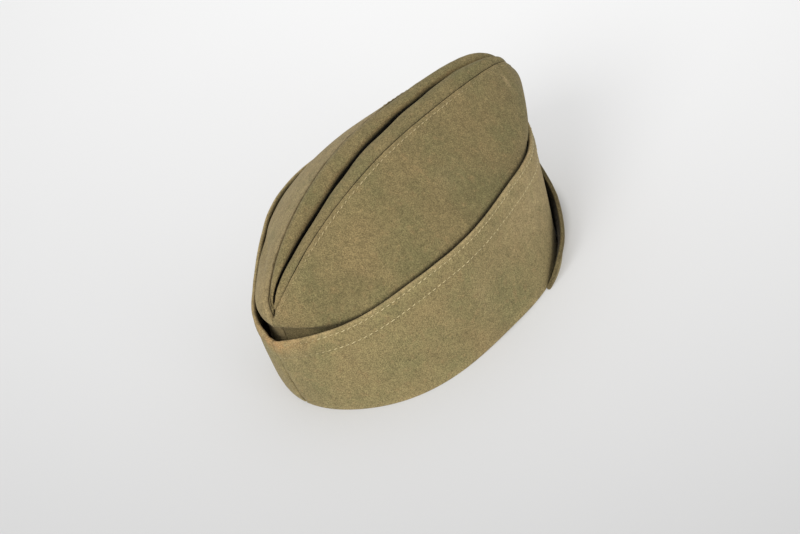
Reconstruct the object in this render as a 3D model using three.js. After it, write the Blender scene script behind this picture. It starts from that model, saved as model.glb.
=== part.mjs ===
// Garrison cap of wool cloth: two crown panels, a pinched top gusset and a turned-up curtain in two
// halves. Millimetres, +Z up. The rim stands on Z = 0, the front of the cap points along -Y and the
// wearer's right side is -X.
import * as THREE from 'three';

// Rim, where the crown and the curtain are sewn together
const rimHalfWidth = 78;
const rimBackReach = 108;
const rimFrontReach = 103.5;

// Top edge of the curtain
const curtainHalfWidth = 71.5;
const curtainBackReach = 112.5;
const curtainFrontReach = 114.5;
const curtainHeight = 77;

// Seam between the crown panels and the gusset
const seamHalfWidth = 15.2;
const seamBackReach = 104.5;
const seamFrontReach = 122.5;
const seamHeight = 120.5;

// Crease along the middle of the gusset, the pleat below it and the ridges beside it
const creaseBackReach = 101.5;
const creaseFrontReach = 121;
const creaseHeight = 118.5;
const creaseOpening = 2.8;
const pleatDepth = 13;
const ridgeRise = 3.5;

// Cloth thickness; the curtain is doubled cloth with a rounded edge
const crownCloth = 1.8;
const gussetCloth = 1.8;
const curtainCloth = 2.6;
const edgeRounding = 0.7;

// Fullness of the panels between their edges
const curtainFullness = 1.3;
const crownFullness = 3;
const noseFullness = 9.2;

// Room between curtain and crown at the centre back, and the gap between sewn pieces
const backGap = 5.2;
const pieceGap = 0.3;

// Front lap: how far round the left half passes the centre front, its clearance over the right
// half, how far its edge stands off, and the turn over which it comes out
const lapTurn = THREE.MathUtils.degToRad(66);
const lapGap = 0.6;
const lapLift = 5;
const lapRunIn = THREE.MathUtils.degToRad(40);

// Turn left free at the pointed ends of the gusset
const gussetBackEnd = THREE.MathUtils.degToRad(8);
const gussetFrontEnd = THREE.MathUtils.degToRad(6);

// Stations of the rim and the curtain from the centre back round one side to the centre front, at
// equal steps of turn. rimOut and topOut: share of the half width; topRise: share of the curtain's
// height; room: share of the back gap
const curtainStations = [
  { rimOut: 0, topOut: 0, topRise: 0.75, room: 1 },
  { rimOut: 0.39, topOut: 0.32, topRise: 0.82, room: 0.7 },
  { rimOut: 0.75, topOut: 0.62, topRise: 0.85, room: 0.3 },
  { rimOut: 0.95, topOut: 0.9, topRise: 0.97, room: 0.2 },
  { rimOut: 1, topOut: 1, topRise: 1, room: 0.2 },
  { rimOut: 0.97, topOut: 0.88, topRise: 0.965, room: 0.2 },
  { rimOut: 0.71, topOut: 0.685, topRise: 0.895, room: 0.15 },
  { rimOut: 0.31, topOut: 0.31, topRise: 0.83, room: 0.05 },
  { rimOut: 0, topOut: 0, topRise: 0.645, room: 0 },
];

// Stations of the crown at the same turns. seamOut: share of the seam's half width; seamRise and
// creaseRise: shares of their heights; ridge: share of the ridges' rise; nose: share of the
// fullness that pushes the front seam forward
const crownStations = [
  { seamOut: 0, seamRise: 0.59, creaseRise: 0.64, ridge: 0.2, nose: 0 },
  { seamOut: 0.36, seamRise: 0.7, creaseRise: 0.74, ridge: 0.6, nose: 0 },
  { seamOut: 0.65, seamRise: 0.84, creaseRise: 0.83, ridge: 0.9, nose: 0 },
  { seamOut: 0.89, seamRise: 0.95, creaseRise: 0.93, ridge: 1, nose: 0 },
  { seamOut: 1, seamRise: 1, creaseRise: 1, ridge: 1, nose: 0 },
  { seamOut: 0.94, seamRise: 0.97, creaseRise: 0.99, ridge: 1.1, nose: 0 },
  { seamOut: 0.8, seamRise: 0.91, creaseRise: 0.92, ridge: 1.5, nose: 0.6 },
  { seamOut: 0.52, seamRise: 0.82, creaseRise: 0.81, ridge: 1.6, nose: 0.6 },
  { seamOut: 0, seamRise: 0.67, creaseRise: 0.72, ridge: 0.5, nose: 1 },
];

// Free front edge of the left curtain half from the rim to its top, at equal steps of height.
// reach: share of the lap's turn past the centre front; over: share of the way out over the right
// half; lift: share of the lap's lift at the edge. Near the top the halves part in a notch
const lapEdge = [
  { reach: 1.03, over: 1, lift: 0.05 },
  { reach: 0.94, over: 1, lift: 0.85 },
  { reach: 0.78, over: 1, lift: 1.05 },
  { reach: 0.58, over: 1, lift: 0.4 },
  { reach: 0.3, over: 1, lift: 0 },
  { reach: -0.02, over: 1, lift: 0 },
  { reach: -0.05, over: 0.6, lift: 0 },
  { reach: -0.07, over: 0.25, lift: 0 },
  { reach: -0.08, over: 0, lift: 0 },
];

// Section of one half of the gusset from the seam to the bottom of the pleat. over and under:
// share of the way from the crease's lip to the seam, on top of the cloth and below it; open:
// share of the opening; lift: share of the ridge's rise; drop: share of the pleat's depth
const gussetSection = [
  { over: 1, under: 1, open: 1, lift: 0, drop: 0 },
  { over: 0.83, under: 0.83, open: 1, lift: 0.55, drop: 0 },
  { over: 0.6, under: 0.6, open: 1, lift: 0.95, drop: 0 },
  { over: 0.34, under: 0.38, open: 1, lift: 1, drop: 0 },
  { over: 0.13, under: 0.2, open: 1, lift: 0.7, drop: 0.05 },
  { over: 0, under: 0.04, open: 1, lift: 0.1, drop: 0.2 },
  { over: 0, under: 0, open: 0.55, lift: 0, drop: 0.6 },
  { over: 0, under: 0, open: 0, lift: 0, drop: 1 },
];

// Natural cubic spline through values at equal steps, read at a share from 0 to 1
function spline(values) {
  const last = values.length - 1;
  const bend = new Array(values.length).fill(0);
  const carry = new Array(values.length).fill(0);
  for (let i = 1; i < last; i++) {
    const pull = 6 * (values[i + 1] - 2 * values[i] + values[i - 1]);
    const pivot = 4 - carry[i - 1];
    carry[i] = 1 / pivot;
    bend[i] = (pull - bend[i - 1]) / pivot;
  }
  for (let i = last - 1; i > 0; i--) {
    bend[i] -= carry[i] * bend[i + 1];
  }
  return (share) => {
    const place = share * last;
    const i = Math.min(Math.max(Math.floor(place), 0), last - 1);
    const b = place - i;
    const a = 1 - b;
    const curve = (a ** 3 - a) * bend[i] + (b ** 3 - b) * bend[i + 1];
    return a * values[i] + b * values[i + 1] + curve / 6;
  };
}

// A station column as a function of the turn, from 0 at the centre back to PI at the centre front.
// Past the centre front it comes back down the other side, where a width changes its sign
function column(stations, name, past) {
  const read = spline(stations.map((row) => row[name]));
  return (turn) => (turn <= Math.PI ? read(turn / Math.PI) : past * read(2 - turn / Math.PI));
}

const rimOut = column(curtainStations, 'rimOut', -1);
const topOut = column(curtainStations, 'topOut', -1);
const topRise = column(curtainStations, 'topRise', 1);
const roomShare = column(curtainStations, 'room', 1);
const seamOut = column(crownStations, 'seamOut', -1);
const seamRise = column(crownStations, 'seamRise', 1);
const creaseRise = column(crownStations, 'creaseRise', 1);
const ridgeShare = column(crownStations, 'ridge', 1);
const noseShare = column(crownStations, 'nose', 1);
const lapReach = spline(lapEdge.map((row) => row.reach));
const lapOver = spline(lapEdge.map((row) => row.over));
const lapLiftShare = spline(lapEdge.map((row) => row.lift));

const mix = THREE.MathUtils.lerp;

// Equal steps from one value to another
function steps(from, to, count) {
  return Array.from({ length: count + 1 }, (_, i) => mix(from, to, i / count));
}

// Fullest in the middle, nothing at the two ends
function belly(share) {
  return 4 * share * (1 - share);
}

// How far a point lies along the cap at a turn
function along(turn, backReach, frontReach) {
  return Math.cos(turn) * (Math.cos(turn) > 0 ? backReach : frontReach);
}

function rimPoint(side, turn, inset) {
  return new THREE.Vector3(
    side * rimOut(turn) * (rimHalfWidth - inset),
    along(turn, rimBackReach - inset, rimFrontReach - inset),
    0,
  );
}

function curtainTopPoint(side, turn, inset) {
  return new THREE.Vector3(
    side * topOut(turn) * (curtainHalfWidth - inset),
    along(turn, curtainBackReach - inset, curtainFrontReach - inset),
    curtainHeight * topRise(turn),
  );
}

function seamPoint(side, turn) {
  return new THREE.Vector3(
    side * seamOut(turn) * seamHalfWidth,
    along(turn, seamBackReach, seamFrontReach),
    seamHeight * seamRise(turn),
  );
}

// Horizontal direction away from the middle of the cap
function outward(side, turn) {
  return new THREE.Vector3(side * rimOut(turn), Math.cos(turn), 0).normalize();
}

// Outer surface of the crown: up inside the curtain as far as the waist, which is level with the
// curtain's top edge, and from there over to the gusset seam
const waistShare = 0.45;
const noseSkew = 0.8;
const swellOut = 0.6;
const swellUp = 0.8;

function crownSurface(side, turn, up) {
  const waist = curtainTopPoint(side, turn, curtainCloth + pieceGap + backGap * roomShare(turn));
  if (up <= waistShare) {
    return rimPoint(side, turn, curtainCloth + pieceGap).lerp(waist, up / waistShare);
  }
  const share = (up - waistShare) / (1 - waistShare);
  const swell = crownFullness * belly(share);
  const nose = noseFullness * noseShare(turn) * belly(share ** noseSkew);
  const over = outward(side, turn).multiplyScalar(swellOut * swell + nose);
  over.z = swellUp * swell * (1 - noseShare(turn));
  return waist.lerp(seamPoint(side, turn), share).add(over);
}

// The point below a point of the crown's outer surface, through the cloth. Its share of the width
// shrinks near the centre seams, so that it never crosses X = 0
const slopeStep = 0.004;

function crownUnderside(side, turn, up) {
  const low = Math.max(up - slopeStep, 0);
  const high = Math.min(up + slopeStep, 1);
  const ahead = crownSurface(side, turn + slopeStep, up);
  const around = ahead.sub(crownSurface(side, turn - slopeStep, up));
  const upward = crownSurface(side, turn, high).sub(crownSurface(side, turn, low));
  const normal = upward.cross(around).multiplyScalar(side).normalize();
  const point = crownSurface(side, turn, up);
  const width = Math.abs(point.x);
  const inset = crownCloth * Math.abs(normal.x);
  point.x = width > 0 ? (point.x * width) / (width + inset) : 0;
  point.y -= crownCloth * normal.y;
  point.z -= crownCloth * normal.z;
  return point;
}

// Keeps the panels of the two sides apart at the centre seams
function offCentre(side, point) {
  point.x = side * Math.max(side * point.x, pieceGap / 2);
  return point;
}

// Closed solid between an outer and an inner grid of points, with rows along the piece
function clothSolid(outer, inner) {
  const rows = outer.length;
  const columns = outer[0].length;
  const points = [...outer.flat(), ...inner.flat()];
  const at = (sheet, row, col) => (sheet * rows + row) * columns + col;
  const faces = [];
  const quad = (a, b, c, d) => faces.push([a, b, c], [a, c, d]);
  const endRow = rows - 1;
  const endCol = columns - 1;
  for (let r = 0; r < endRow; r++) {
    for (let c = 0; c < endCol; c++) {
      quad(at(0, r, c), at(0, r, c + 1), at(0, r + 1, c + 1), at(0, r + 1, c));
      quad(at(1, r, c), at(1, r + 1, c), at(1, r + 1, c + 1), at(1, r, c + 1));
    }
    quad(at(0, r, 0), at(0, r + 1, 0), at(1, r + 1, 0), at(1, r, 0));
    quad(at(0, r, endCol), at(1, r, endCol), at(1, r + 1, endCol), at(0, r + 1, endCol));
  }
  for (let c = 0; c < endCol; c++) {
    quad(at(0, 0, c), at(1, 0, c), at(1, 0, c + 1), at(0, 0, c + 1));
    quad(at(0, endRow, c), at(0, endRow, c + 1), at(1, endRow, c + 1), at(1, endRow, c));
  }
  const volume = faces.reduce((sum, [a, b, c]) => {
    return sum + points[a].dot(points[b].clone().cross(points[c]));
  }, 0);
  const order = volume < 0 ? [0, 2, 1] : [0, 1, 2];
  const geometry = new THREE.BufferGeometry().setFromPoints(points);
  geometry.setIndex(faces.flatMap((face) => order.map((corner) => face[corner])));
  geometry.computeVertexNormals();
  return geometry;
}

// Facets along each piece from the centre back to the centre front, facets along the part that
// laps, and heights of the rows
const facetsAlong = 36;
const lapFacets = 20;
const crownRows = [0, 0.22, ...steps(waistShare, 1, 8)];
const curtainRows = [0, 0.012, 0.08, 0.16, 0.25, ...steps(0.33, 0.65, 6), 0.8, 0.92, 0.985, 1];

function crownPanel(side) {
  const turns = steps(0, Math.PI, facetsAlong);
  const ups = crownRows;
  const outer = turns.map((turn) => ups.map((up) => offCentre(side, crownSurface(side, turn, up))));
  const inner = turns.map((turn) => ups.map((up) => {
    const point = crownUnderside(side, turn, up);
    point.z = up === 0 ? 0 : point.z;
    return offCentre(side, point);
  }));
  return clothSolid(outer, inner);
}

// How far the left half is let out to pass over the right one. It is all the way out a little
// before the centre front, and then flares away from the right half towards its free edge
const lapOutShare = 0.95;
const lapFlare = 6;

function lapOut(turn, up) {
  const start = Math.PI - lapRunIn;
  const runIn = THREE.MathUtils.smoothstep(turn, start, start + lapOutShare * lapRunIn);
  const past = turn > Math.PI ? (turn - Math.PI) / (lapTurn * lapReach(up)) : 0;
  const standOff = lapLift * Math.max(lapLiftShare(up), 0) * past ** lapFlare;
  return (curtainCloth + lapGap) * lapOver(up) * runIn + standOff;
}

// Turns of the rows along the left half: up to the run-in as in the right half, and from there to
// its free edge in equal shares
function lapTurns(up) {
  const start = Math.PI - lapRunIn;
  const edge = Math.PI + lapTurn * lapReach(up);
  const plain = Math.round((facetsAlong * start) / Math.PI);
  return [...steps(0, start, plain), ...steps(start, edge, lapFacets).slice(1)];
}

function curtainHalf(side, laps) {
  const ends = curtainRows.map((up) => (up === 0 || up === 1 ? edgeRounding : 0));
  const sheet = (depth, rounding) => {
    const columns = curtainRows.map((up, i) => {
      const turns = laps ? lapTurns(up) : steps(0, Math.PI, facetsAlong);
      return turns.map((turn) => {
        const point = rimPoint(side, turn, 0).lerp(curtainTopPoint(side, turn, 0), up);
        const out = curtainFullness * belly(up) + (laps ? lapOut(turn, up) : 0);
        point.addScaledVector(outward(side, turn), out - depth - rounding * ends[i]);
        return laps && turn > Math.PI - lapRunIn ? point : offCentre(side, point);
      });
    });
    return columns[0].map((_, row) => columns.map((points) => points[row]));
  };
  return clothSolid(sheet(0, 1), sheet(curtainCloth, -1));
}

// One station of the gusset's top or underside, from the right seam over to the left one. Its room
// at the seams, measured level, is wider than the gap across the sloping edge
const seamRoom = 1.5;

function gussetRow(turn, isUnder) {
  const edge = isUnder ? crownUnderside(1, turn, 1) : seamPoint(1, turn);
  const lip = (creaseOpening / 2 + (isUnder ? gussetCloth : 0)) * seamOut(turn);
  const strip = edge.x - seamRoom * pieceGap - lip;
  const creaseY = along(turn, creaseBackReach, creaseFrontReach);
  const creaseZ = creaseHeight * creaseRise(turn);
  const half = gussetSection.map(({ over, under, open, lift, drop }) => {
    const share = isUnder ? under : over;
    const rise = ridgeRise * ridgeShare(turn) * lift;
    const sink = pleatDepth * seamOut(turn) * drop + (isUnder && share < 1 ? gussetCloth : 0);
    return new THREE.Vector3(
      lip * open + strip * share,
      mix(creaseY, edge.y, share),
      mix(creaseZ, edge.z, share) + rise - sink,
    );
  });
  const mirrored = half.slice(0, -1).map(({ x, y, z }) => new THREE.Vector3(-x, y, z));
  return [...mirrored, ...half.reverse()];
}

function gusset() {
  const turns = steps(gussetBackEnd, Math.PI - gussetFrontEnd, facetsAlong);
  const top = turns.map((turn) => gussetRow(turn, false));
  const underside = turns.map((turn) => gussetRow(turn, true));
  return clothSolid(top, underside);
}

function piece(name, geometry, color) {
  const material = new THREE.MeshStandardMaterial({ color, roughness: 0.95, metalness: 0 });
  const mesh = new THREE.Mesh(geometry, material);
  mesh.name = name;
  return mesh;
}

const crownColour = 0x857852;
const curtainColour = 0x8f8158;

const cap = new THREE.Group();
cap.add(
  piece('crown_right', crownPanel(-1), crownColour),
  piece('crown_left', crownPanel(1), crownColour),
  piece('top_gusset', gusset(), crownColour),
  piece('curtain_right', curtainHalf(-1, false), curtainColour),
  piece('curtain_left', curtainHalf(1, true), curtainColour),
);

// The origin lies under the middle of the cap
const middle = new THREE.Box3().setFromObject(cap).getCenter(new THREE.Vector3());
cap.position.set(-middle.x, -middle.y, 0);

export default cap;
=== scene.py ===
import math

import bpy
import numpy as np
from mathutils import Matrix, Vector


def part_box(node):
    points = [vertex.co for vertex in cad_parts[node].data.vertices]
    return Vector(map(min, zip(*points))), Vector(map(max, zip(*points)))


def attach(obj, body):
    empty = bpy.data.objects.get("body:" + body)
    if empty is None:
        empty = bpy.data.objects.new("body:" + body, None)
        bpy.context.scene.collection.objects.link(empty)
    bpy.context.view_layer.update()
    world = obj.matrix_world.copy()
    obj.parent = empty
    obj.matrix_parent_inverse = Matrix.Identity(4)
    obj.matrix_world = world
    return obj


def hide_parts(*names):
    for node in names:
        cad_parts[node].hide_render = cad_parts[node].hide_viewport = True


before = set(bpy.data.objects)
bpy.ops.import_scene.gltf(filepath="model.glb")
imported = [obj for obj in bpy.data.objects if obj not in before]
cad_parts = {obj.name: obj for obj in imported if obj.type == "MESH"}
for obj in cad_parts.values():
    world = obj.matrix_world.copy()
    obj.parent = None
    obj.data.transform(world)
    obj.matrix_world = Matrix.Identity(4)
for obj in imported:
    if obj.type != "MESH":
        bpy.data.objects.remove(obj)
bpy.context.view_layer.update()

# Curtain: the turned-up band of doubled wool cloth, in two halves sewn together at the centre back.
# At the centre front the left half laps over the right one with a loose curved edge. The bottom
# fold is the rim that the cap stands on, and two rows of pale cotton thread hold the hem.
rim_half_width = 0.078
rim_back_reach = 0.108
rim_front_reach = 0.1035
curtain_half_width = 0.0715
curtain_back_reach = 0.1125
curtain_front_reach = 0.1145
curtain_height = 0.077
curtain_cloth = 0.0026
curtain_fullness = 0.0013
lap_turn = math.radians(66)
lap_gap = 0.0002
lap_lift = 0.005
lap_run_in = math.radians(40)
lap_out_share = 0.95
lap_flare = 6
seam_room = 0.00005

# Nine places at equal steps of turn from the centre back round one side to the centre front
curtain_shape = {
    "rim_out": [0, 0.39, 0.75, 0.95, 1, 0.97, 0.71, 0.31, 0],
    "top_out": [0, 0.32, 0.62, 0.9, 1, 0.88, 0.685, 0.31, 0],
    "top_rise": [0.75, 0.82, 0.85, 0.97, 1, 0.965, 0.895, 0.83, 0.645],
}

# Nine heights at equal steps from the rim to the top of the lap's free edge
lap_edge = {
    "reach": [1.07, 0.955, 0.785, 0.56, 0.22, -0.03, -0.05, -0.07, -0.08],
    "over": [1, 1, 1, 1, 1, 1, 0.6, 0.25, 0],
    "lift": [0, 0.8, 1.1, 0.4, 0, 0, 0, 0, 0],
}


def smooth_curve(values):
    """Natural cubic spline through values at equal steps, read at shares from 0 to 1."""
    values = np.array(values, float)
    last = len(values) - 1
    bend = np.zeros(last + 1)
    carry = np.zeros(last + 1)
    for i in range(1, last):
        pull = 6 * (values[i + 1] - 2 * values[i] + values[i - 1])
        carry[i] = 1 / (4 - carry[i - 1])
        bend[i] = (pull - bend[i - 1]) * carry[i]
    for i in range(last - 1, 0, -1):
        bend[i] -= carry[i] * bend[i + 1]

    def read(share):
        place = np.asarray(share, float) * last
        i = np.clip(np.floor(place), 0, last - 1).astype(int)
        b = place - i
        a = 1 - b
        curve = (a**3 - a) * bend[i] + (b**3 - b) * bend[i + 1]
        return a * values[i] + b * values[i + 1] + curve / 6

    return read


def round_the_cap(values, past):
    """A column of places as a function of turn. Past the centre front it comes back down the
    other side, where a width changes its sign (past = -1)."""
    read = smooth_curve(values)

    def at(turn):
        before = read(np.minimum(turn, math.pi) / math.pi)
        beyond = past * read(2 - np.maximum(turn, math.pi) / math.pi)
        return np.where(turn <= math.pi, before, beyond)

    return at


rim_out = round_the_cap(curtain_shape["rim_out"], -1)
top_out = round_the_cap(curtain_shape["top_out"], -1)
top_rise = round_the_cap(curtain_shape["top_rise"], 1)
lap_reach = smooth_curve(lap_edge["reach"])
lap_over = smooth_curve(lap_edge["over"])
lap_lift_share = smooth_curve(lap_edge["lift"])


def smoothstep(x, low, high):
    share = np.clip((x - low) / (high - low), 0, 1)
    return share * share * (3 - 2 * share)


def belly(share):
    return 4 * share * (1 - share)


def points(x, y, z):
    return np.stack(np.broadcast_arrays(x, y, z), axis=-1).astype(float)


def lengthwise(turn, back_reach, front_reach):
    return np.cos(turn) * np.where(np.cos(turn) > 0, back_reach, front_reach)


def rim_point(side, turn, inset):
    y = lengthwise(turn, rim_back_reach - inset, rim_front_reach - inset)
    return points(side * rim_out(turn) * (rim_half_width - inset), y, 0)


def curtain_top_point(side, turn, inset):
    x = side * top_out(turn) * (curtain_half_width - inset)
    y = lengthwise(turn, curtain_back_reach - inset, curtain_front_reach - inset)
    return points(x, y, curtain_height * top_rise(turn))


def outward(side, turn):
    way = points(side * rim_out(turn), np.cos(turn), 0)
    return way / np.linalg.norm(way, axis=-1, keepdims=True)


def soft_noise(a, b, seed):
    """Smooth noise from -1 to 1, with about one hump for each step of a and of b."""
    lattice = np.random.default_rng(seed).uniform(-1, 1, (64, 64))
    a, b = np.broadcast_arrays(np.asarray(a, float) + 16, np.asarray(b, float) + 16)
    i = np.floor(a).astype(int)
    j = np.floor(b).astype(int)
    s = smoothstep(a - i, 0, 1)
    t = smoothstep(b - j, 0, 1)
    corner = [[lattice[(i + di) % 64, (j + dj) % 64] for dj in (0, 1)] for di in (0, 1)]
    near = corner[0][0] * (1 - t) + corner[0][1] * t
    far = corner[1][0] * (1 - t) + corner[1][1] * t
    return near * (1 - s) + far * s


def ripples(a, b, height, step, seed):
    """Soft ripples in cloth of a height, with a step from one to the next along its two ways."""
    return height * soft_noise(a / step[0], b / step[1], seed)


def soft_line(distance, strength, at, width):
    """Strongest at one distance, and all but gone at twice the width from there."""
    return strength * np.exp(-(((distance - at) / width) ** 2))


def soft_spot(along, below, strength, at, size):
    return soft_line(along, strength, at[0], size[0]) * soft_line(below, 1, at[1], size[1])


def fading(distance, strength, reach):
    """Strongest at an edge and fading away from it."""
    return strength * np.exp(-distance / reach)


def crowded_ends(count, crowd):
    """Shares from 0 to 1 whose steps shrink towards both ends, where edges are rounded."""
    even = np.linspace(0, 1, count)
    return even - crowd * np.sin(2 * math.pi * even) / (2 * math.pi)


def run_along(grid, axis):
    """Length of the cloth from its first row or column to each point of a grid."""
    steps = np.linalg.norm(np.diff(grid, axis=axis), axis=-1)
    start = np.zeros_like(np.take(steps, [0], axis=axis))
    return np.concatenate([start, np.cumsum(steps, axis=axis)], axis=axis)


def face_normals(grid, side):
    """Normals of a grid of points, pointing out of the cap."""
    normal = np.cross(np.gradient(grid, axis=1), np.gradient(grid, axis=0)) * side
    return normal / np.linalg.norm(normal, axis=-1, keepdims=True)


# The curves have their own origin, between the rim's widest places. This takes it to the frame's
pattern_shift = np.array([
    (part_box("crown_right")[0][0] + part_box("crown_left")[1][0]) / 2,
    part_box("curtain_right")[1][1] - curtain_back_reach,
    0,
])

bottom_sharpness = 0.35


def cloth_piece(name, outer, side, thickness, radius, relief, marks, inner_marks):
    """A closed piece of cloth with rounded edges. outer is the grid of its outer face, relief lifts
    that face along its normal, and the marks of both faces are stored for its material. Gives the
    object and the grid and normals of the finished outer face."""
    along = run_along(outer, 0)
    up = run_along(outer, 1)
    normal = face_normals(outer, side)
    lift = np.asarray(relief(along, up))[..., None]
    face = outer + normal * lift
    middle = face - normal * thickness / 2
    ends_along = np.minimum(along, along[-1:] - along)
    ends_up = np.minimum(up / bottom_sharpness, up[:, -1:] - up)
    inside = np.clip(np.minimum(ends_along, ends_up) / radius, 0, 1)
    half = (thickness / 2 * np.sqrt(1 - (1 - inside) ** 2))[..., None]
    front = middle + normal * half + pattern_shift
    back = middle - normal * half + pattern_shift
    rows, columns = front.shape[:2]
    count = rows * columns
    number = np.arange(count).reshape(rows, columns)
    behind = number + count
    behind[0], behind[-1] = number[0], number[-1]
    behind[:, 0], behind[:, -1] = number[:, 0], number[:, -1]

    def quads(index):
        corners = [index[:-1, :-1], index[1:, :-1], index[1:, 1:], index[:-1, 1:]]
        return np.stack([c.ravel() for c in corners], axis=1)

    way = -1 if side > 0 else 1
    faces = np.concatenate([quads(number)[:, ::way], quads(behind)[:, ::-way]])
    used, faces = np.unique(faces, return_inverse=True)
    vertices = np.concatenate([front.reshape(-1, 3), back.reshape(-1, 3)])[used]
    mesh = bpy.data.meshes.new(name)
    mesh.from_pydata(vertices.tolist(), [], faces.reshape(-1, 4).tolist())
    mesh.shade_smooth()
    outside = marks(along, up)
    inside_out = {**outside, **inner_marks(along, up)}
    for name_of_mark in outside:
        both = [
            np.broadcast_to(marked[name_of_mark], (rows, columns)).ravel()
            for marked in (outside, inside_out)
        ]
        stored = mesh.attributes.new(name_of_mark, "FLOAT", "POINT")
        stored.data.foreach_set("value", np.clip(np.concatenate(both), 0, 1)[used])
    places = np.stack([np.broadcast_to(run, (rows, columns)) for run in (along, up)], -1)
    weave_place = np.tile(places.reshape(-1, 2), (2, 1))[used]
    layer = mesh.uv_layers.new(name="cloth")
    corner_points = np.zeros(len(mesh.loops), int)
    mesh.loops.foreach_get("vertex_index", corner_points)
    layer.data.foreach_set("uv", weave_place[corner_points].ravel())
    piece = bpy.data.objects.new(name, mesh)
    bpy.context.scene.collection.objects.link(piece)
    return piece, front, normal


def wool(name, colour, green, tan, worn_and_lit, rusty, dark):
    """Fulled olive wool: heathered yarn, soft greenish and tan patches and a short nap, rubbed pale
    along its edges and browned in places. The pale colour also paints light onto lit patches, and
    the dark one paints shade into folds, gaps and the lap's inside, and darkens the seam lines."""
    material = bpy.data.materials.new(name)
    material.use_nodes = True
    tree = material.node_tree
    shader = tree.nodes["Principled BSDF"]
    shader.inputs["Roughness"].default_value = 0.95
    shader.inputs["Specular IOR Level"].default_value = 0.15
    shader.inputs["Sheen Weight"].default_value = 0.08
    shader.inputs["Sheen Roughness"].default_value = 0.5
    shader.inputs["Sheen Tint"].default_value = (0.9, 0.86, 0.72, 1)
    place = tree.nodes.new("ShaderNodeTexCoord").outputs["Object"]

    def noise(scale, detail, low, high, bottom, top):
        cloud = tree.nodes.new("ShaderNodeTexNoise")
        cloud.inputs["Scale"].default_value = scale
        cloud.inputs["Detail"].default_value = detail
        tree.links.new(place, cloud.inputs["Vector"])
        spread = tree.nodes.new("ShaderNodeMapRange")
        spread.inputs["From Min"].default_value = low
        spread.inputs["From Max"].default_value = high
        spread.inputs["To Min"].default_value = bottom
        spread.inputs["To Max"].default_value = top
        tree.links.new(cloud.outputs["Fac"], spread.inputs["Value"])
        return spread.outputs["Result"]

    def blend(kind, factor, first, second):
        mix = tree.nodes.new("ShaderNodeMix")
        mix.data_type = "RGBA"
        mix.blend_type = kind
        sockets = (mix.inputs[0], mix.inputs[6], mix.inputs[7])
        for socket, value in zip(sockets, (factor, first, second)):
            if isinstance(value, bpy.types.NodeSocket):
                tree.links.new(value, socket)
            else:
                socket.default_value = value
        return mix.outputs[2]

    def times(first, second):
        maths = tree.nodes.new("ShaderNodeMath")
        maths.operation = "MULTIPLY"
        for socket, value in zip(maths.inputs, (first, second)):
            if isinstance(value, bpy.types.NodeSocket):
                tree.links.new(value, socket)
            else:
                socket.default_value = value
        return maths.outputs[0]

    def grey(value):
        made = tree.nodes.new("ShaderNodeCombineColor")
        for socket in made.inputs:
            tree.links.new(value, socket)
        return made.outputs[0]

    def mark(name):
        stored = tree.nodes.new("ShaderNodeAttribute")
        stored.attribute_name = name
        return stored.outputs["Fac"]

    green_patches = noise(scale=34, detail=2, low=0.42, high=0.66, bottom=0, top=0.75)
    tan_patches = noise(scale=21, detail=3, low=0.5, high=0.72, bottom=0, top=0.6)
    tan_yarn = noise(scale=230, detail=3, low=0.55, high=0.8, bottom=0, top=0.8)
    uneven_wear_and_light = noise(scale=160, detail=3, low=0.3, high=0.7, bottom=0.35, top=1)
    uneven_rust = noise(scale=260, detail=3, low=0.3, high=0.7, bottom=0.2, top=1)
    cloudy = noise(scale=120, detail=4, low=0.25, high=0.75, bottom=0.9, top=1.1)
    mottled = noise(scale=420, detail=3, low=0.25, high=0.75, bottom=0.84, top=1.16)
    grainy = noise(scale=1400, detail=2, low=0.3, high=0.7, bottom=0.6, top=1.4)
    pale_flecks = noise(scale=1100, detail=1, low=0.6, high=0.8, bottom=0, top=0.6)
    cloth = blend("MIX", green_patches, colour, green)
    cloth = blend("MIX", tan_patches, cloth, tan)
    cloth = blend("MIX", tan_yarn, cloth, tan)
    # Pale where the cloth is rubbed, and painted light on patches where more light falls
    cloth = blend("MIX", times(mark("wear_and_painted_light"), uneven_wear_and_light), cloth, worn_and_lit)
    cloth = blend("MIX", times(mark("rust"), uneven_rust), cloth, rusty)
    # Painted shade in the pleat, the gaps at the waist and back, and on the lap; the same mix
    # darkens the seam lines
    cloth = blend("MIX", mark("seam_dark_and_painted_shade"), cloth, dark)
    for shade in (cloudy, mottled, grainy):
        cloth = blend("MULTIPLY", 1.0, cloth, grey(shade))
    cloth = blend("MIX", pale_flecks, cloth, worn_and_lit)
    tree.links.new(cloth, shader.inputs["Base Color"])
    nap = tree.nodes.new("ShaderNodeBump")
    nap.inputs["Strength"].default_value = 0.5
    nap.inputs["Distance"].default_value = 0.0003
    nap_height = noise(scale=1500, detail=3, low=0.2, high=0.8, bottom=0, top=1)
    tree.links.new(nap_height, nap.inputs["Height"])
    weave = tree.nodes.new("ShaderNodeTexWave")
    weave.wave_type = "BANDS"
    weave.bands_direction = "DIAGONAL"
    weave.inputs["Scale"].default_value = 260
    weave.inputs["Distortion"].default_value = 1.5
    cloth_place = tree.nodes.new("ShaderNodeUVMap")
    cloth_place.uv_map = "cloth"
    tree.links.new(cloth_place.outputs["UV"], weave.inputs["Vector"])
    twill = tree.nodes.new("ShaderNodeBump")
    twill.inputs["Strength"].default_value = 0.25
    twill.inputs["Distance"].default_value = 0.0002
    tree.links.new(weave.outputs["Fac"], twill.inputs["Height"])
    tree.links.new(nap.outputs["Normal"], twill.inputs["Normal"])
    tree.links.new(twill.outputs["Normal"], shader.inputs["Normal"])
    return material


def srgb(red, green, blue):
    """A colour as a picture gives it, from 0 to 255, in linear light."""
    shares = [value / 255 for value in (red, green, blue)]
    return [s / 12.92 if s <= 0.04045 else ((s + 0.055) / 1.055) ** 2.4 for s in shares] + [1]


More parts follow.
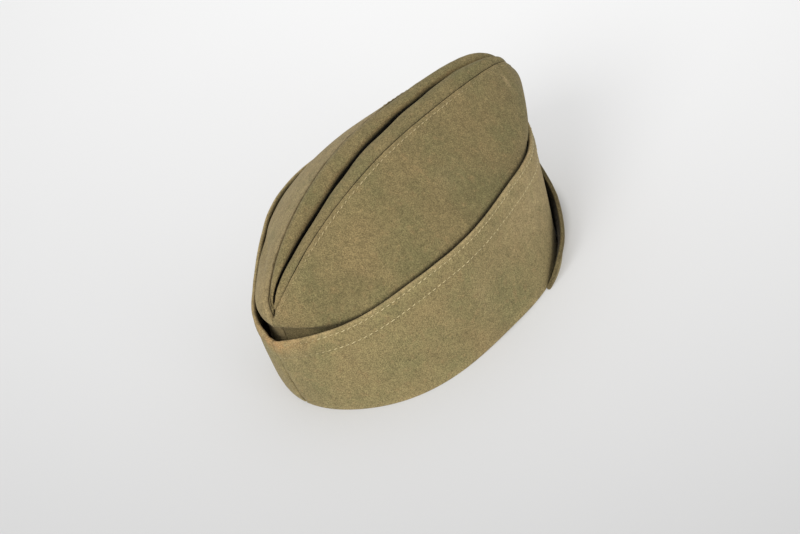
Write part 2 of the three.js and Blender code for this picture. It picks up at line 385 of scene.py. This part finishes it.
curtain_wool = wool(
    "curtain_wool",
    colour=srgb(140, 126, 87),
    green=srgb(128, 121, 82),
    tan=srgb(149, 128, 89),
    # This pale colour is also the colour of painted light
    worn_and_lit=srgb(174, 153, 112),
    rusty=srgb(176, 134, 88),
    # The colour of painted shade, and of the darker seam lines
    dark=srgb(30, 25, 18),
)

curtain_stations = 380
curtain_station_crowd = 0.6
curtain_heights = 96
height_crowd = 0.9
curtain_edge_radius = 0.0013
flat_at_rim = 0.006
# Painted shade: the lap's inner face is painted dark where it stands off the right half, and only a
# share of that dark is kept at its free edge
lap_painted_shade = 0.98
lap_edge_light = 0.4

# The hem: two rows at these distances below the top edge, and the step where its turning ends
hem_rows = (0.0035, 0.0137)
hem_swell = 0.00035
hem_step = 0.0008
between_rows_swell = 0.00025
between_rows_width = 0.003
stitch_dip = 0.00025
stitch_dip_width = 0.0005

# The rows of the hem show fully from hem_hidden on, up to hem_bold. Of two values the first is the
# right half's and the second the left one's, which is longer by the lap
hem_hidden = 0.045
hem_bold = (0.3, 0.4)


def stitch_groove(distance, row):
    return soft_line(distance, -stitch_dip, at=row, width=stitch_dip_width)


stitch_pitch = 0.0038
stitch_length = 0.0028
stitch_width = 0.00062
stitch_height = 0.00042
stitch_slant = 0.12
slant_spread = 0.08
stitch_sink = 0.00008
tight_share = 0.45
flat_loss = 0.65
flat_from = 1.3
thickness_spread = (0.7, 1.1)
length_spread = (0.8, 1.1)
full_length_share = 1.2
thread_end = 0.06
thread_steps = 6
thread_sides = 6


def thread(name, colour, dark):
    material = bpy.data.materials.new(name)
    material.use_nodes = True
    tree = material.node_tree
    shader = tree.nodes["Principled BSDF"]
    shader.inputs["Roughness"].default_value = 0.7
    shader.inputs["Sheen Weight"].default_value = 0.2
    ply = tree.nodes.new("ShaderNodeTexNoise")
    ply.inputs["Scale"].default_value = 700
    place = tree.nodes.new("ShaderNodeTexCoord")
    tree.links.new(place.outputs["Object"], ply.inputs["Vector"])
    mix = tree.nodes.new("ShaderNodeMix")
    mix.data_type = "RGBA"
    mix.inputs[6].default_value = dark
    mix.inputs[7].default_value = colour
    tree.links.new(ply.outputs["Fac"], mix.inputs[0])
    tree.links.new(mix.outputs[2], shader.inputs["Base Color"])
    return material


pale_thread = thread("pale_thread", srgb(222, 206, 158), srgb(190, 172, 122))


def row_below_edge(grid, normals, distance):
    """The line on a piece's outer face at a distance below its top edge, with its normals."""
    up = run_along(grid, 1)
    below = up[:, -1:] - up
    line = []
    facing = []
    for column, reach, normal in zip(grid, below, normals):
        line.append([np.interp(-distance, -reach, column[:, i]) for i in range(3)])
        facing.append([np.interp(-distance, -reach, normal[:, i]) for i in range(3)])
    return np.array(line), np.array(facing)


def stitch_row(line, facing, side, hidden, bold, seed):
    """Vertices and faces of the stitches along a line. Over the length hidden from the centre back
    they are drawn tight and sink into the cloth, and past the length bold they lie flatter."""
    run = run_along(line[:, None], 0)[:, 0]
    random = np.random.default_rng(seed)
    vertices = []
    faces = []
    for centre in np.arange(stitch_pitch, run[-1] - 2 * stitch_pitch, stitch_pitch):
        shown = tight_share + (1 - tight_share) * smoothstep(centre, hidden / 2, hidden)
        shown = shown - flat_loss * smoothstep(centre, bold, bold * flat_from)
        shown = shown * random.uniform(*thickness_spread)
        length = stitch_length * random.uniform(*length_spread) * min(shown * full_length_share, 1)
        spots = centre + length * np.linspace(-0.5, 0.5, thread_steps)
        path = np.stack([np.interp(spots, run, line[:, i]) for i in range(3)], 1)
        up = np.array([np.interp(centre, run, facing[:, i]) for i in range(3)])
        up /= np.linalg.norm(up)
        ahead = path[-1] - path[0]
        ahead /= np.linalg.norm(ahead)
        across = np.cross(up, ahead)
        slant = random.uniform(-slant_spread, slant_spread) - side * stitch_slant
        base = len(vertices)
        for step, spot in zip(np.linspace(-1, 1, thread_steps), path):
            round_off = math.sqrt(max(1 - step**2, thread_end))
            middle = spot + up * (stitch_height * shown * round_off / 2 - stitch_sink)
            middle = middle + across * slant * step * length / 2
            for k in range(thread_sides):
                angle = 2 * math.pi * k / thread_sides
                wide = across * math.cos(angle) * stitch_width
                high = up * math.sin(angle) * stitch_height
                vertices.append(middle + (wide + high) / 2 * round_off * shown)
        for i in range(thread_steps - 1):
            for k in range(thread_sides):
                a = base + i * thread_sides + k
                b = base + i * thread_sides + (k + 1) % thread_sides
                faces.append((a, a + thread_sides, b + thread_sides, b))
        faces.append(tuple(base + k for k in range(thread_sides)))
        tip = base + (thread_steps - 1) * thread_sides
        faces.append(tuple(tip + k for k in reversed(range(thread_sides))))
    return vertices, faces


def stitching(name, grid, normals, side, rows, hidden, bold, material):
    """One object for the rows of stitches on a piece, each at a distance below its top edge."""
    vertices = []
    faces = []
    first_seed = 51 + 2 * side
    for seed, distance in enumerate(rows, first_seed):
        line, facing = row_below_edge(grid, normals, distance)
        more, joined = stitch_row(line, facing, side, hidden, bold, seed)
        faces += [tuple(corner + len(vertices) for corner in face) for face in joined]
        vertices += [tuple(vertex) for vertex in more]
    mesh = bpy.data.meshes.new(name)
    mesh.from_pydata(vertices, [], faces)
    mesh.shade_smooth()
    mesh.materials.append(material)
    piece = bpy.data.objects.new(name, mesh)
    bpy.context.scene.collection.objects.link(piece)
    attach(piece, "root")
    return piece


def curtain_half(side, laps):
    name = "curtain_left_cloth" if laps else "curtain_right_cloth"
    shares = crowded_ends(curtain_stations, curtain_station_crowd)[:, None]
    ups = crowded_ends(curtain_heights, height_crowd)[None, :]
    start = math.pi - lap_run_in
    turns = math.pi * shares * np.ones_like(ups)
    out = curtain_fullness * belly(ups) * np.ones_like(shares)
    if laps:
        reach = math.pi + lap_turn * lap_reach(ups)
        turns = reach * shares
        past = np.where(turns > math.pi, (turns - math.pi) / (lap_turn * lap_reach(ups)), 0)
        run_in = smoothstep(turns, start, start + lap_out_share * lap_run_in)
        stand_off = lap_lift * np.maximum(lap_lift_share(ups), 0) * past**lap_flare
        out = out + (curtain_cloth + lap_gap) * lap_over(ups) * run_in + stand_off
    foot = rim_point(side, turns, 0)
    face = foot + (curtain_top_point(side, turns, 0) - foot) * ups[..., None]
    face = face + outward(side, turns) * out[..., None]
    centred = side * np.maximum(side * face[..., 0], seam_room)
    face[..., 0] = np.where(turns > start, face[..., 0], centred) if laps else centred

    def relief(along, up):
        below = up[:, -1:] - up
        hem = hem_swell * (1 - smoothstep(below, hem_rows[1] - hem_step, hem_rows[1] + hem_step))
        middle = sum(hem_rows) / 2
        between = soft_line(below, between_rows_swell, at=middle, width=between_rows_width)
        rows = between + sum(stitch_groove(below, row) for row in hem_rows)
        waves = ripples(along, up, height=0.0005, step=(0.022, 0.06), seed=5 + side)
        waves = waves + ripples(along, up, height=0.0002, step=(0.009, 0.02), seed=11 + side)
        allowance = soft_line(along, strength=0.0005, at=0.0045, width=0.0028)
        pucker = ripples(up, along, height=0.0003, step=(0.005, 0.01), seed=61 + side)
        pucker = pucker * fading(along, strength=1, reach=0.007)
        return (hem + rows + waves + allowance + pucker) * smoothstep(up, 0, flat_at_rim)

    def marks(along, up):
        below = up[:, -1:] - up
        to_end = along[-1:] - along
        near_back = fading(along, strength=1, reach=0.02)
        top = fading(below, strength=0.75, reach=0.0022)
        rim = fading(up, strength=0.5, reach=0.0035)
        back_corner = near_back * fading(below, strength=0.45, reach=0.012)
        # Painted light: a pale patch towards the front of the half, where more light falls
        painted_light_front = soft_spot(along, below, strength=0.75, at=(0.205, 0.02), size=(0.04, 0.022))
        rubbed = soft_spot(along, below, strength=0.25, at=(0.137, 0.04), size=(0.006, 0.02))
        # Painted shade along the lap's free edge, on its outer face
        lap_shade = fading(to_end, strength=0.6, reach=0.0022) if laps else 0
        return {
            "wear_and_painted_light": top + rim + back_corner + painted_light_front + rubbed,
            "rust": near_back * soft_line(below, strength=0.9, at=0.0025, width=0.005),
            "seam_dark_and_painted_shade": fading(along, strength=0.35, reach=0.0008) + lap_shade,
        }

    def inner_marks(along, up):
        below = up[:, -1:] - up
        to_end = along[-1:] - along
        # Painted shade on the inside of the curtain just below its top edge, facing the gap to the
        # crown
        top = soft_line(below, strength=0.6, at=0.006, width=0.008)
        # Painted shade on the lap's inner face, lighter at its free edge
        shade_under_lap = lap_painted_shade * (1 - smoothstep(to_end, low=0.08, high=0.12)) if laps else 0
        edge = lap_edge_light + (1 - lap_edge_light) * smoothstep(to_end, low=0, high=0.006)
        return {"seam_dark_and_painted_shade": np.maximum(top, shade_under_lap * edge)}

    piece, grid, normals = cloth_piece(
        name, face, side, curtain_cloth, curtain_edge_radius, relief, marks, inner_marks
    )
    piece.data.materials.append(curtain_wool)
    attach(piece, "root")
    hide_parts("curtain_left" if laps else "curtain_right")
    hem = stitching(
        "curtain_left_stitching" if laps else "curtain_right_stitching",
        grid, normals, side, hem_rows, hem_hidden, hem_bold[laps], pale_thread,
    )


curtain_half(-1, False)
curtain_half(1, True)

# Crown: two panels of single wool cloth, sewn to the rim inside the curtain, to each other at the
# centre back and centre front, and to the gusset along the top. Beside that seam a row of thread
# holds the seam allowance down.
seam_half_width = 0.0152
seam_back_reach = 0.1045
seam_front_reach = 0.1225
seam_height = 0.1205
crown_cloth = 0.0018
crown_fullness = 0.003
nose_fullness = 0.0092
waist_share = 0.45
piece_gap = 0.0003
back_gap = 0.0052
nose_skew = 0.8
swell_out = 0.6
swell_up = 0.8

# Nine places again. room is how much of the back gap is left between crown and curtain
crown_shape = {
    "room": [1, 0.7, 0.3, 0.2, 0.2, 0.2, 0.15, 0.05, 0],
    "seam_out": [0, 0.36, 0.65, 0.89, 1, 0.94, 0.8, 0.52, 0],
    "seam_rise": [0.59, 0.7, 0.84, 0.95, 1, 0.97, 0.91, 0.82, 0.67],
    "crease_rise": [0.64, 0.74, 0.83, 0.93, 1, 0.99, 0.92, 0.81, 0.72],
    "ridge": [0.2, 0.6, 0.9, 1, 1, 1.1, 1.5, 1.6, 0.5],
    "nose": [0, 0, 0, 0, 0, 0, 0.6, 0.6, 1],
}
room_share = round_the_cap(crown_shape["room"], 1)
seam_out = round_the_cap(crown_shape["seam_out"], -1)
seam_rise = round_the_cap(crown_shape["seam_rise"], 1)
crease_rise = round_the_cap(crown_shape["crease_rise"], 1)
ridge_share = round_the_cap(crown_shape["ridge"], 1)
nose_share = round_the_cap(crown_shape["nose"], 1)

crown_stations = 360
crown_station_crowd = 0.7
crown_heights = 110
crown_edge_radius = 0.0004
crown_row = 0.0036
crown_row_hidden = 0.07
crown_row_bold = 0.17
seam_swell = 0.00035
seam_step = 0.0008

# Where the crown rolls over the back gap it is fuller, and it is tucked in under the roll
back_roll = 0.0064
back_roll_turns = (math.radians(2), math.radians(30))
back_turns = (math.radians(18), math.radians(42))
back_swell = 0.0014
back_tuck = 0.002
tuck_fold = (-0.0016, 0.0006)
tuck_foot = (-0.03, -0.01)

# A slanting fold runs in from the seam near the back: its depth, width and start
fold_depth = 0.003
fold_width = 0.005
fold_slant = 0.9
fold_start = (0.052, 0.033)

waist_groove = 0.0003
far_fullness = 0.002
far_fullness_turn = math.radians(38)
far_fullness_spread = math.radians(26)
# Painted light: the far panel is paler all over, where more light falls on it
far_panel_painted_light = 0.6
# Painted shade: a dark band along the waist, in the gap between crown and curtain
waist_painted_shade = 0.8
# Painted shade in the back recess under the crown's roll
back_gap_painted_shade = 0.1
# Turns over which the waist's painted shade eases to half towards the front
waist_shade_easing_turns = (math.radians(95), math.radians(130))

crown_wool = wool(
    "crown_wool",
    colour=srgb(128, 114, 78),
    green=srgb(115, 109, 73),
    tan=srgb(142, 122, 84),
    # This pale colour is also the colour of painted light
    worn_and_lit=srgb(162, 143, 104),
    rusty=srgb(128, 100, 66),
    # The colour of painted shade, and of the darker seam lines
    dark=srgb(22, 18, 13),
)

# The right row's thread shows pale, and the left one's is as dull as the cloth
crown_thread = {
    -1: thread("tan_thread", srgb(206, 186, 138), srgb(166, 148, 102)),
    1: thread("dull_thread", srgb(150, 132, 92), srgb(124, 108, 74)),
}


def seam_point(side, turn):
    y = lengthwise(turn, seam_back_reach, seam_front_reach)
    return points(side * seam_out(turn) * seam_half_width, y, seam_height * seam_rise(turn))


def crown_surface(side, turn, up):
    waist = curtain_top_point(side, turn, curtain_cloth + piece_gap + back_gap * room_share(turn))
    foot = rim_point(side, turn, curtain_cloth + piece_gap)
    lower = foot + (waist - foot) * np.clip(up / waist_share, 0, 1)[..., None]
    share = np.clip((up - waist_share) / (1 - waist_share), 0, 1)
    swell = crown_fullness * belly(share)
    nose = nose_fullness * nose_share(turn) * belly(share**nose_skew)
    over = outward(side, turn) * (swell_out * swell + nose)[..., None]
    over[..., 2] = swell_up * swell * (1 - nose_share(turn))
    upper = waist + (seam_point(side, turn) - waist) * share[..., None] + over
    return np.where((up <= waist_share)[..., None], lower, upper)


def crown_panel(side):
    name = "crown_left_cloth" if side > 0 else "crown_right_cloth"
    shares = crowded_ends(crown_stations, crown_station_crowd)[:, None]
    turns = math.pi * shares * np.ones((1, crown_heights))
    ups = crowded_ends(crown_heights, height_crowd)[None, :] * np.ones((crown_stations, 1))
    face = crown_surface(side, turns, ups)
    face[..., 0] = side * np.maximum(side * face[..., 0], seam_room)

    waist_column = np.searchsorted(ups[0], waist_share)
    roll_height = back_roll * (1 - smoothstep(turns, *back_roll_turns))
    at_back = 1 - smoothstep(turns, *back_turns)
    far_side = 1 if side > 0 else 0

    def relief(along, up):
        below = up[:, -1:] - up
        from_ends = np.minimum(along, along[-1:] - along)
        past_row = smoothstep(below, crown_row - seam_step, crown_row + seam_step)
        allowance = seam_swell * (1 - past_row)
        pucker = ripples(along, 0, height=0.00025, step=(0.004, 1), seed=3 + side)
        pucker = pucker * fading(below, strength=1, reach=0.006)
        waves = ripples(along, up, height=0.0007, step=(0.035, 0.03), seed=21 + side)
        waves = waves + ripples(along, up, height=0.0002, step=(0.012, 0.012), seed=31 + side)
        off_slant = below - fold_start[1] - (along - fold_start[0]) * fold_slant
        fold = soft_line(off_slant, fold_depth, at=0, width=fold_width)
        fold = fold * soft_line(along, strength=1, at=0.055, width=0.02)
        sewn = allowance + stitch_groove(below, crown_row) + pucker
        shown = smoothstep(up, low=0.03, high=0.06) * smoothstep(from_ends, low=0, high=0.01)

        over_waist = up - up[:, waist_column:waist_column + 1]
        over_roll = over_waist - roll_height
        rolled = smoothstep(over_roll, *tuck_fold)
        tuck = back_tuck * (1 - rolled) * smoothstep(over_roll, *tuck_foot)
        roll = soft_line(over_roll, back_swell, at=0.004, width=0.007) * rolled
        back = (roll - tuck) * at_back * smoothstep(below, low=0, high=0.004)
        groove = soft_line(over_waist, waist_groove, at=-0.0014, width=0.0016) * (1 - at_back)
        fuller = soft_line(turns, far_fullness * far_side, far_fullness_turn, far_fullness_spread)
        fuller = fuller * soft_line(over_waist, strength=1, at=0, width=0.02)
        return (sewn + waves - fold) * shown + back + fuller - groove

    def marks(along, up):
        below = up[:, -1:] - up
        over_waist = up - up[:, waist_column:waist_column + 1]
        over_roll = over_waist - roll_height
        # Painted shade at the waist, in the gap down to the curtain, halved towards the front
        waist = waist_painted_shade * (1 - smoothstep(over_waist, low=-0.0014, high=0)) * (1 - at_back)
        waist = waist * (1 - smoothstep(turns, *waist_shade_easing_turns) / 2)
        # Painted shade in the back recess under the roll, and a painted shadow line just beneath
        # the roll
        shade_under_roll = 1 - smoothstep(over_roll, low=-0.0008, high=0.0006)
        shade_under_roll = back_gap_painted_shade * at_back * shade_under_roll
        shadow_line_under_roll = at_back * soft_line(over_roll, strength=0.5, at=-0.0008, width=0.0009)
        far_seam = far_side * fading(below, strength=0.6, reach=0.0009)
        seam = fading(below, strength=0.45, reach=0.0035)
        pale = soft_spot(along, below, strength=0.35, at=(0.146, 0.037), size=(0.01, 0.008))
        scuff = soft_spot(along, below, strength=0.9, at=(0.2285, 0.013), size=(0.0016, 0.006))
        # Painted light over the whole far panel
        far_panel_light = far_panel_painted_light * far_side
        return {
            "wear_and_painted_light": seam + pale + scuff + far_panel_light,
            "rust": fading(below, strength=0.35, reach=0.0012),
            "seam_dark_and_painted_shade": waist + shade_under_roll + shadow_line_under_roll + far_seam,
        }

    def inner_marks(along, up):
        return {"seam_dark_and_painted_shade": 0}

    piece, grid, normals = cloth_piece(
        name, face, side, crown_cloth, crown_edge_radius, relief, marks, inner_marks
    )
    piece.data.materials.append(crown_wool)
    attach(piece, "root")
    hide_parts("crown_left" if side > 0 else "crown_right")
    row = stitching(
        "crown_left_stitching" if side > 0 else "crown_right_stitching",
        grid, normals, side, (crown_row,), crown_row_hidden, crown_row_bold, crown_thread[side],
    )


crown_panel(-1)
crown_panel(1)

# Top gusset: one long pointed piece of wool between the two crown panels. It is folded down along
# its middle into a deep pleat, so that a soft ridge stands on each side of the crease.
crease_back_reach = 0.1015
crease_front_reach = 0.121
crease_height = 0.1185
crease_opening = 0.004
front_closing = 0.7
front_closing_turns = (math.radians(105), math.radians(140))
pleat_depth = 0.013
ridge_rise = 0.0035
gusset_cloth = 0.0018
gusset_back_end = math.radians(1.5)
gusset_front_end = math.radians(1.5)
gusset_stations = 340
gusset_station_crowd = 0.7
gusset_widths = 121
gusset_width_crowd = 0.6

# Eleven places at equal steps from the seam to the bottom of the pleat, which widens under its lips
gusset_section = {
    "over": [1, 0.83, 0.6, 0.34, 0.13, 0.02, 0, 0, 0, 0, 0],
    "open": [1, 1, 1, 1, 1, 1, 1.5, 2.1, 2.2, 1.4, 0],
    "lift": [0, 0.55, 0.95, 1, 0.85, 0.45, 0, 0, 0, 0, 0],
    "drop": [0, 0, 0, 0, 0, 0.04, 0.16, 0.32, 0.55, 0.85, 1],
}
section = {column: smooth_curve(values) for column, values in gusset_section.items()}


def gusset():
    shares = crowded_ends(gusset_stations, gusset_station_crowd)[:, None]
    turn = gusset_back_end + (math.pi - gusset_front_end - gusset_back_end) * shares
    across = crowded_ends(gusset_widths, gusset_width_crowd)[None, :] * 2 - 1
    depth = 1 - np.abs(across)
    edge = seam_point(1, turn)
    lip = crease_opening / 2 * np.sqrt(np.maximum(seam_out(turn), 0))
    lip = lip * (1 - front_closing * smoothstep(turn, *front_closing_turns))
    strip = edge[..., 0] - seam_room - lip
    over = np.maximum(section["over"](depth), 0)
    half = lip * section["open"](depth) + strip * over
    crease_y = lengthwise(turn, crease_back_reach, crease_front_reach)
    crease_z = crease_height * crease_rise(turn)
    y = crease_y + (edge[..., 1] - crease_y) * over
    z = crease_z + (edge[..., 2] - crease_z) * over
    z = z + ridge_rise * ridge_share(turn) * section["lift"](depth)
    z = z - pleat_depth * seam_out(turn) * section["drop"](depth)
    face = points(np.sign(across) * np.maximum(half, 0), y, z)
    run = run_along(face[:, :1], 0)
    half_side = np.sign(across)
    waver = ripples(run, 0, height=0.0006, step=(0.017, 1), seed=47)
    lips = ripples(run, half_side, height=0.00036, step=(0.012, 1 / 3), seed=48) * half_side
    face[..., 0] += (waver + lips) * seam_out(turn) * smoothstep(depth, low=0.1, high=0.45)

    def relief(along, up):
        from_seam = np.minimum(up, up[:, -1:] - up)
        waves = ripples(along, up, height=0.0003, step=(0.018, 0.02), seed=41)
        pucker = ripples(along, 0, height=0.0002, step=(0.004, 1), seed=43)
        pucker = pucker * fading(from_seam, strength=1, reach=0.004)
        return (waves + pucker) * smoothstep(from_seam, low=0, high=0.003)

    def marks(along, up):
        from_seam = np.minimum(up, up[:, -1:] - up)
        # Painted shade: the cloth deep in the pleat is painted near black
        pleat_painted_shade = smoothstep(depth, low=0.49, high=0.57)
        return {
            "wear_and_painted_light": fading(from_seam, strength=0.15, reach=0.003),
            "rust": soft_line(depth, strength=0.45, at=0.47, width=0.04),
            "seam_dark_and_painted_shade": pleat_painted_shade + fading(from_seam, strength=0.6, reach=0.0008),
        }

    def inner_marks(along, up):
        return {"seam_dark_and_painted_shade": 0}

    piece, _, _ = cloth_piece(
        "top_gusset_cloth", face, -1, gusset_cloth, crown_edge_radius, relief, marks, inner_marks
    )
    piece.data.materials.append(crown_wool)
    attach(piece, "root")
    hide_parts("top_gusset")


gusset()

# Floor: a plain pale studio surface that the rim stands on. It glows as painted light, brightest at
# one place and less and less around it, which fills in the cap's cast shadow on it. A mask keeps
# the glow out from under the cap.
floor_reach = 6.0
glow_place = (0.31, -0.51, 0)
glow_reach = 0.95
glow_strength = 0.45
floor_grey = 0.55

# The mask's edge runs from the first to the second of these, in widths and lengths of the rim
mask_edge = (0.93, 1.04)
floor_mesh = bpy.data.meshes.new("floor")
corner_ways = ((-1, -1), (1, -1), (1, 1), (-1, 1))
floor_corners = [(x * floor_reach, y * floor_reach, 0) for x, y in corner_ways]
floor_mesh.from_pydata(floor_corners, [], [(0, 1, 2, 3)])
glowing_floor = bpy.data.materials.new("glowing_floor")
glowing_floor.use_nodes = True
floor_shader = glowing_floor.node_tree.nodes["Principled BSDF"]
floor_shader.inputs["Base Color"].default_value = (floor_grey, floor_grey, floor_grey, 1)
floor_shader.inputs["Emission Color"].default_value = (1, 1, 1, 1)
floor_nodes = glowing_floor.node_tree.nodes
floor_links = glowing_floor.node_tree.links
off_glow = floor_nodes.new("ShaderNodeVectorMath")
off_glow.operation = "SUBTRACT"
off_glow.inputs[1].default_value = glow_place
floor_links.new(floor_nodes.new("ShaderNodeTexCoord").outputs["Object"], off_glow.inputs[0])
distance_squared = floor_nodes.new("ShaderNodeVectorMath")
distance_squared.operation = "DOT_PRODUCT"
floor_links.new(off_glow.outputs["Vector"], distance_squared.inputs[0])
floor_links.new(off_glow.outputs["Vector"], distance_squared.inputs[1])
# Painted light: the floor's glow, fading out from one place
glow = floor_nodes.new("ShaderNodeMapRange")
glow.inputs["From Max"].default_value = glow_reach**2
glow.inputs["To Min"].default_value = glow_strength
glow.inputs["To Max"].default_value = 0
floor_links.new(distance_squared.outputs["Value"], glow.inputs["Value"])
over_cap = floor_nodes.new("ShaderNodeVectorMath")
over_cap.operation = "DIVIDE"
over_cap.inputs[1].default_value = (rim_half_width, rim_back_reach, 1)
floor_links.new(floor_nodes["Texture Coordinate"].outputs["Object"], over_cap.inputs[0])
cap_widths = floor_nodes.new("ShaderNodeVectorMath")
cap_widths.operation = "LENGTH"
floor_links.new(over_cap.outputs["Vector"], cap_widths.inputs[0])
mask = floor_nodes.new("ShaderNodeMapRange")
mask.interpolation_type = "SMOOTHSTEP"
mask.inputs["From Min"].default_value = mask_edge[0]
mask.inputs["From Max"].default_value = mask_edge[1]
floor_links.new(cap_widths.outputs["Value"], mask.inputs["Value"])
masked_glow = floor_nodes.new("ShaderNodeMath")
masked_glow.operation = "MULTIPLY"
floor_links.new(glow.outputs["Result"], masked_glow.inputs[0])
floor_links.new(mask.outputs["Result"], masked_glow.inputs[1])
floor_links.new(masked_glow.outputs["Value"], floor_shader.inputs["Emission Strength"])
floor_shader.inputs["Roughness"].default_value = 0.9
floor_shader.inputs["Specular IOR Level"].default_value = 0.1
floor_mesh.materials.append(glowing_floor)
floor = bpy.data.objects.new("floor", floor_mesh)
bpy.context.scene.collection.objects.link(floor)

# Light: a bright even studio. A large soft lamp stands high behind the cap, on the left of the
# picture, and a weak one stands low on the cap's right side.
studio_strength = 0.72
studio = bpy.data.worlds.new("studio")
studio.use_nodes = True
studio.node_tree.nodes["Background"].inputs["Color"].default_value = (1, 1, 1, 1)
studio.node_tree.nodes["Background"].inputs["Strength"].default_value = studio_strength
bpy.context.scene.world = studio


def soft_lamp(name, place, aim, size, power):
    lamp = bpy.data.lights.new(name, "AREA")
    lamp.shape = "DISK"
    lamp.size = size
    lamp.energy = power
    lamp_object = bpy.data.objects.new(name, lamp)
    lamp_object.location = place
    lamp_object.rotation_euler = (Vector(place) - Vector(aim)).to_track_quat("Z", "Y").to_euler()
    bpy.context.scene.collection.objects.link(lamp_object)


soft_lamp("window_lamp", place=(-0.5, 2.2, 1.9), aim=(0, 0, 0.05), size=1.8, power=40)
soft_lamp("fill_lamp", place=(-2.4, 0.1, 0.6), aim=(0, 0, 0.05), size=1.2, power=9)
bpy.context.scene.view_settings.view_transform = "Standard"

# Camera: the photograph looks down on the cap from behind its right side. It is turned a little, so
# that the cap's length runs up to the right.
heading = math.radians(55.16)
height_angle = math.radians(40.32)
roll = math.radians(-20.75)
aim_across = 0.01191
aim_up = -0.01345
camera_distance = 1.5
focal_pixels = 2392.5
picture_width = 800
film_width = 36

level = Vector((-math.cos(heading), -math.sin(heading), 0))
back_way = Vector((
    -math.sin(heading) * math.cos(height_angle),
    math.cos(heading) * math.cos(height_angle),
    math.sin(height_angle),
))
upright = back_way.cross(level)
picture_right = math.cos(roll) * level + math.sin(roll) * upright
picture_up = -math.sin(roll) * level + math.cos(roll) * upright
camera_place = Vector(pattern_shift) - aim_across * picture_right - aim_up * picture_up
camera_place += camera_distance * back_way
camera = bpy.data.cameras.new("camera")
camera.sensor_width = film_width
camera.lens = focal_pixels * film_width / picture_width
camera_object = bpy.data.objects.new("camera", camera)
turned = Matrix((picture_right, picture_up, back_way)).transposed()
camera_object.matrix_world = Matrix.Translation(camera_place) @ turned.to_4x4()
bpy.context.scene.collection.objects.link(camera_object)
bpy.context.scene.camera = camera_object
